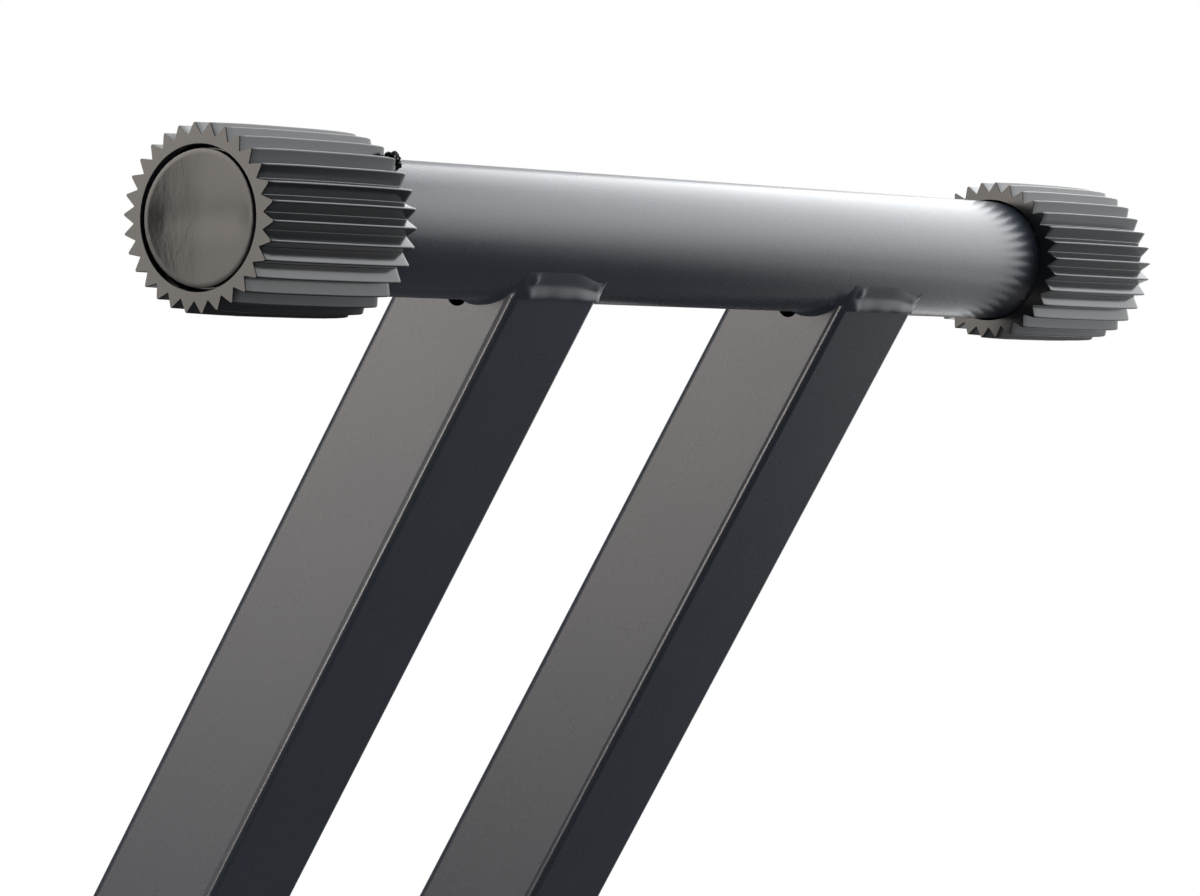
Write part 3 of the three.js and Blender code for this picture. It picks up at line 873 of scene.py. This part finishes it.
def hexagon(name, start, end):
    """A hexagonal prism about Y with its corners turned off at the outer end."""
    across_corners = HEX_FLATS / math.sqrt(3)
    builder = bmesh.new()
    bmesh.ops.create_circle(builder, cap_ends=True, segments=6, radius=across_corners)
    bmesh.ops.rotate(builder, cent=(0, 0, 0), matrix=Matrix.Rotation(math.pi / 2, 3, "X"),
                     verts=builder.verts)
    bmesh.ops.translate(builder, vec=(0, start, 0), verts=builder.verts)
    grown = bmesh.ops.extrude_face_region(builder, geom=builder.faces[:])["geom"]
    top = [item for item in grown if isinstance(item, bmesh.types.BMVert)]
    bmesh.ops.translate(builder, vec=(0, end - start, 0), verts=top)
    prism = as_object(name, builder)
    flat = HEX_FLATS / 2 * 0.97
    wide = across_corners * 1.02
    fall = (wide - flat) * 0.55
    way = 1 if end > start else -1
    blank = turned("cutter", [(0, start - way * MM), (wide, start - way * MM),
                              (wide, end - way * fall), (flat, end), (0, end)],
                   steps=96, rounding=0)
    return carved(prism, [blank], operation="INTERSECT")


def threaded(start, end, root, crest):
    """Profile points of thread ridges between two places along Y."""
    count = int(abs(end - start) / THREAD_PITCH)
    way = 1 if end > start else -1
    points = []
    for ridge in range(count):
        y = start + way * ridge * THREAD_PITCH
        points += [(root, y + way * 0.2 * THREAD_PITCH), (crest, y + way * 0.6 * THREAD_PITCH)]
    return points


head_start, bolt_end = span("pivot_bolt")
head_face = span("pivot_washer_front")[0] - TOUCH
shank_start = head_face - 0.2 * MM
thread_start = bolt_end - THREADED
shank = turned("pivot_bolt_turned", [
    (0, shank_start), (BOLT_RADIUS, shank_start), (BOLT_RADIUS, thread_start),
    *threaded(thread_start, bolt_end - MM, BOLT_RADIUS - THREAD_DEPTH, BOLT_RADIUS),
    (BOLT_RADIUS - BOLT_POINT, bolt_end), (0, bolt_end)], rounding=0)
shank = joined_with(shank, [hexagon("head", head_face, head_start)])
seat(moved(shank, outer_space), "pivot_bolt")

nut_start, nut_end = span("pivot_lock_nut")
nut_face = nut_end - COLLAR
collar = tube("collar", COLLAR_BORE, COLLAR_RADIUS, nut_face - 0.1 * MM, nut_end,
              rounding=0.8 * MM)
nut = hexagon("pivot_lock_nut_body", nut_start, nut_face)
nut = carved(nut, [moved(drill(NUT_BORE, 0, 0), at(0, nut_start, 0))])
nut = joined_with(nut, [collar])
seat(moved(nut, outer_space), "pivot_lock_nut")

# What is threaded on the bolt, as (node, outer radius, rounding, space).
RINGS = [("pivot_washer_front", WASHER_RADIUS, 0.25 * MM, outer_space),
         ("glide_washer_front", GLIDE_RADIUS, 0.4 * MM, outer_space),
         ("pivot_washer_rear", WASHER_RADIUS, 0.25 * MM, outer_space),
         ("glide_washer_rear", GLIDE_RADIUS, 0.4 * MM, outer_space),
         ("centre_spacer", SPACER_RADIUS, 0.4 * MM, inner_space)]

for node, radius, rounding, space in RINGS:
    ring = tube(f"{node}_turned", BOLT_HOLE, radius, *span(node), rounding=rounding)
    seat(moved(ring, space), node)
print(f"pivot bolt: {bolt_end - head_start:.4f} m long")

# %% [markdown]
# ## Pull-pin latch
# The latch stands on the front of the outer leg: a turned barrel with a foot flange, the pin
# through it, and a mushroom-shaped knob to pull. The pin is drawn out here, so the legs can fold.

# %% Turn the latch
BARREL_RADIUS = 10.5 * MM
BARREL_BORE = 7.8 * MM
BARREL_FRONT_WALL = 2.7 * MM
STEM_HOLE = 3.3 * MM
FOOT_RADIUS = 13 * MM
FOOT_THICKNESS = 3 * MM
STEM_RADIUS = 3 * MM
PIN_RADIUS = 4 * MM
PIN_CHAMFER = 0.8 * MM
KNOB_BORE = 3.4 * MM
KNOB_BORE_DEPTH = 16.3 * MM
# The knob's outline, as (radius in millimetres, share of its length from the outer end).
KNOB_OUTLINE = [(7, 0.0), (11, 0.03), (13.6, 0.1), (14.8, 0.22), (15, 0.34), (14.4, 0.46),
                (12.4, 0.58), (10, 0.7), (8.6, 0.82), (8.2, 0.94), (8.2, 1.0)]

latch_space = outer_space @ at(0, 0, latch_reach)
front, back = span("latch_housing")
foot = back - FOOT_THICKNESS
inner_face = front + BARREL_FRONT_WALL
housing = turned("latch_barrel", [
    (STEM_HOLE, front), (BARREL_RADIUS, front), (BARREL_RADIUS, foot), (FOOT_RADIUS, foot),
    (FOOT_RADIUS, back), (BARREL_BORE, back), (BARREL_BORE, inner_face), (STEM_HOLE, inner_face)],
    steps=96, rounding=0.6 * MM, closed=True)
seat(moved(housing, latch_space), "latch_housing")

front, tip = span("latch_pin")
shoulder = span("latch_clip")[1] + TOUCH
pin = turned("latch_pin_turned", [
    (0, front), (STEM_RADIUS, front), (STEM_RADIUS, shoulder), (PIN_RADIUS, shoulder),
    (PIN_RADIUS, tip - PIN_CHAMFER), (PIN_RADIUS - PIN_CHAMFER, tip), (0, tip)],
    rounding=0.15 * MM)
seat(moved(pin, latch_space), "latch_pin")

front, back = span("latch_knob")
knob_length = back - front
bore_end = back - KNOB_BORE_DEPTH
knob = turned("latch_knob_turned",
              [(0, front)] + [(r * MM, front + share * knob_length) for r, share in KNOB_OUTLINE]
              + [(KNOB_BORE, back), (KNOB_BORE, bore_end), (0, bore_end)],
              steps=96, rounding=0.5 * MM)
seat(moved(knob, latch_space), "latch_knob")
print(f"latch: knob {knob_length:.3f} m long")

# %% [markdown]
# ## Floor, light and background
# The stand is photographed on white, in a room that is dark in front of it and below. To the
# camera the world is plain white. To reflections and soft light it is a studio: a wide white
# backdrop behind the stand, and little from the front or from under it. A lit panel behind runs a
# sheen along the round bars, a soft lamp overhead lights their tops, and a warm one from the front
# left lights the legs' wide faces. A panel is hidden from the camera, but not from reflections.

# %% Light the stage
FLOOR_RADIUS = 6.0
FLOOR_PALE = (0.82, 0.82, 0.82)     # to the camera
FLOOR_IN_SHADE = (0.1, 0.1, 0.1)    # to the light that it throws back at the stand
FLOOR_MIRRORED = 0.06
FLOOR_FADES = (0.7, 2.4)            # metres from its middle, from matte to plain white
ROOM_LOW = 0.02
ROOM_HIGH = 1.0
ROOM_FRONT = 0.25
ROOM_LEFT = 0.2
ROOM_FILL = 0.24                    # the share of the room that lights matte surfaces
COOL = (0.96, 0.985, 1.0)
WARM = (1.0, 0.92, 0.84)
DIM = 0.12


def rays(finish):
    """1 for rays from the camera, and 1 for rays from a reflection or through a glass."""
    path = finish.node("ShaderNodeLightPath").socket.node.outputs
    camera, glossy, through = (Value(finish, path[name]) for name in
                               ("Is Camera Ray", "Is Glossy Ray", "Is Transmission Ray"))
    return camera, glossy + through > 0.5


def eased(finish, amount, start, end, low=0.0, high=1.0):
    """Goes smoothly from low to high while the amount goes from start to end."""
    return finish.node("ShaderNodeMapRange", {"interpolation_type": "SMOOTHSTEP"}, {
        "Value": amount, "From Min": start, "From Max": end, "To Min": low, "To Max": high})


def white_world():
    """Plain white to the camera, and a room that dims to its front, left and foot to the rest."""
    world = bpy.data.worlds.new("studio")
    bpy.context.scene.world = world
    shader = Finish(world)
    camera, mirrored = rays(shader)
    direction = shader.node("ShaderNodeTexCoord", output="Generated")
    axes = shader.node("ShaderNodeSeparateXYZ", inputs={"Vector": direction}).socket.node.outputs
    right, back, up = (Value(shader, axes[name]) for name in "XYZ")
    room = (eased(shader, up, -0.3, 0.25, ROOM_LOW, ROOM_HIGH)
            * eased(shader, back, -0.4, 0.5, ROOM_FRONT, 1.0)
            * eased(shader, right, -0.95, -0.65, ROOM_LEFT, 1.0))
    soft = room * (mirrored * (1 - ROOM_FILL) + ROOM_FILL)
    level = camera + (1 - camera) * soft
    light = shader.node("ShaderNodeBackground", inputs={"Color": (1, 1, 1, 1), "Strength": level})
    shader.node("ShaderNodeOutputWorld", inputs={"Surface": light})


def pale_floor():
    """A pale disc that is dark to reflections and fades into the white background."""
    builder = bmesh.new()
    bmesh.ops.create_circle(builder, cap_ends=True, segments=96, radius=FLOOR_RADIUS)
    floor = as_object("floor", builder)
    finish = Finish(bpy.data.materials.new("floor"))
    camera, mirrored = rays(finish)
    here = finish.node("ShaderNodeTexCoord", output="Object")
    distance = finish.node("ShaderNodeVectorMath", {"operation": "LENGTH"}, {0: here},
                           output="Value")
    colour = finish.tint(camera, FLOOR_IN_SHADE, FLOOR_PALE)
    matte = finish.node("ShaderNodeBsdfDiffuse", inputs={"Color": colour})
    white = finish.node("ShaderNodeEmission", inputs={"Color": (1, 1, 1, 1), "Strength": 1.0})
    mask = eased(finish, distance, *FLOOR_FADES) * (camera + mirrored * FLOOR_MIRRORED)
    both = finish.node("ShaderNodeMixShader", inputs={0: mask, 1: matte, 2: white})
    finish.node("ShaderNodeOutputMaterial", inputs={"Surface": both})
    floor.data.materials.append(finish.owner)


def lamp(name, place, target, size, brightness, colour=(1, 1, 1), fade=None):
    """A rectangular lamp whose face is `brightness` times as bright as white. `fade` gives the
    heights between which its face goes from dim to full."""
    light = bpy.data.lights.new(name, "AREA")
    light.shape = "RECTANGLE"
    light.size, light.size_y = size
    light.energy = brightness * math.pi * size[0] * size[1]
    light.color = colour
    if fade:
        finish = Finish(light)
        here = finish.node("ShaderNodeNewGeometry", output="Position")
        height = finish.node("ShaderNodeSeparateXYZ", inputs={"Vector": here}, output="Z")
        strength = finish.node("ShaderNodeMapRange", inputs={
            "Value": height, "From Min": fade[0], "From Max": fade[1],
            "To Min": DIM, "To Max": 1.0})
        glow = finish.node("ShaderNodeEmission", inputs={"Strength": strength})
        finish.node("ShaderNodeOutputLight", inputs={"Surface": glow})
    holder = bpy.data.objects.new(name, light)
    holder.location = place
    aim = Vector(target) - Vector(place)
    holder.rotation_euler = aim.to_track_quat("-Z", "Y").to_euler()
    holder.visible_camera = False
    bpy.context.scene.collection.objects.link(holder)


white_world()
pale_floor()
lamp("backdrop_panel", (1.45, 2.6, 1.55), (1.45, 0, 1.55), (5.1, 3.9), 3.2, COOL, fade=(-0.8, 2.1))
lamp("overhead", (0.0, 0.4, 2.6), (0.1, 0.0, 0.7), (1.8, 1.8), 2.6, COOL)
lamp("low_glow", (0.35, 1.95, 0.15), (0.35, 1.95, 2.0), (2.9, 1.2), 0.55, COOL)
lamp("front_left", (-0.43, -0.92, 0.75), (0.2, 0, 0.75), (0.38, 1.3), 9.4, WARM, fade=(0.55, 1.1))
lamp("corner_fill", (0.0, -1.1, 0.42), (0.2, -0.08, 0.75), (0.4, 0.4), 2.4, WARM)
lamp("corner_glint", (0.4, -0.7, 0.35), (0.2, -0.08, 0.75), (0.22, 0.22), 15, WARM)
print("stage lit")

# %% [markdown]
# ## Camera
# The photograph is a close view of the right-hand top bar from the front right, at the bar's own
# height. The camera's place is measured from the centre of the near cap's face.

# %% Place the camera
IMAGE_WIDTH = 1200
FOCAL_PIXELS = 5401
CAMERA_FROM_CAP = Vector((706.9, -874.7, -45.9)) * MM
YAW = math.radians(34.6845)
PITCH = math.radians(-0.0976)

bar_centre = middle("top_bar_right")
cap_face = Vector((bar_centre.x, span("top_bar_right_cap_front")[0], bar_centre.z))
gaze = Vector((-math.sin(YAW) * math.cos(PITCH), math.cos(YAW) * math.cos(PITCH), math.sin(PITCH)))
lens = bpy.data.cameras.new("camera")
lens.sensor_width = 36
lens.lens = FOCAL_PIXELS / IMAGE_WIDTH * lens.sensor_width
lens.clip_start = 0.05
lens.clip_end = 50
camera = bpy.data.objects.new("camera", lens)
camera.location = cap_face + CAMERA_FROM_CAP
camera.rotation_euler = gaze.to_track_quat("-Z", "Y").to_euler()
bpy.context.scene.collection.objects.link(camera)
bpy.context.scene.camera = camera
bpy.context.scene.view_settings.view_transform = "Standard"
print("camera at", tuple(round(value, 3) for value in camera.location))
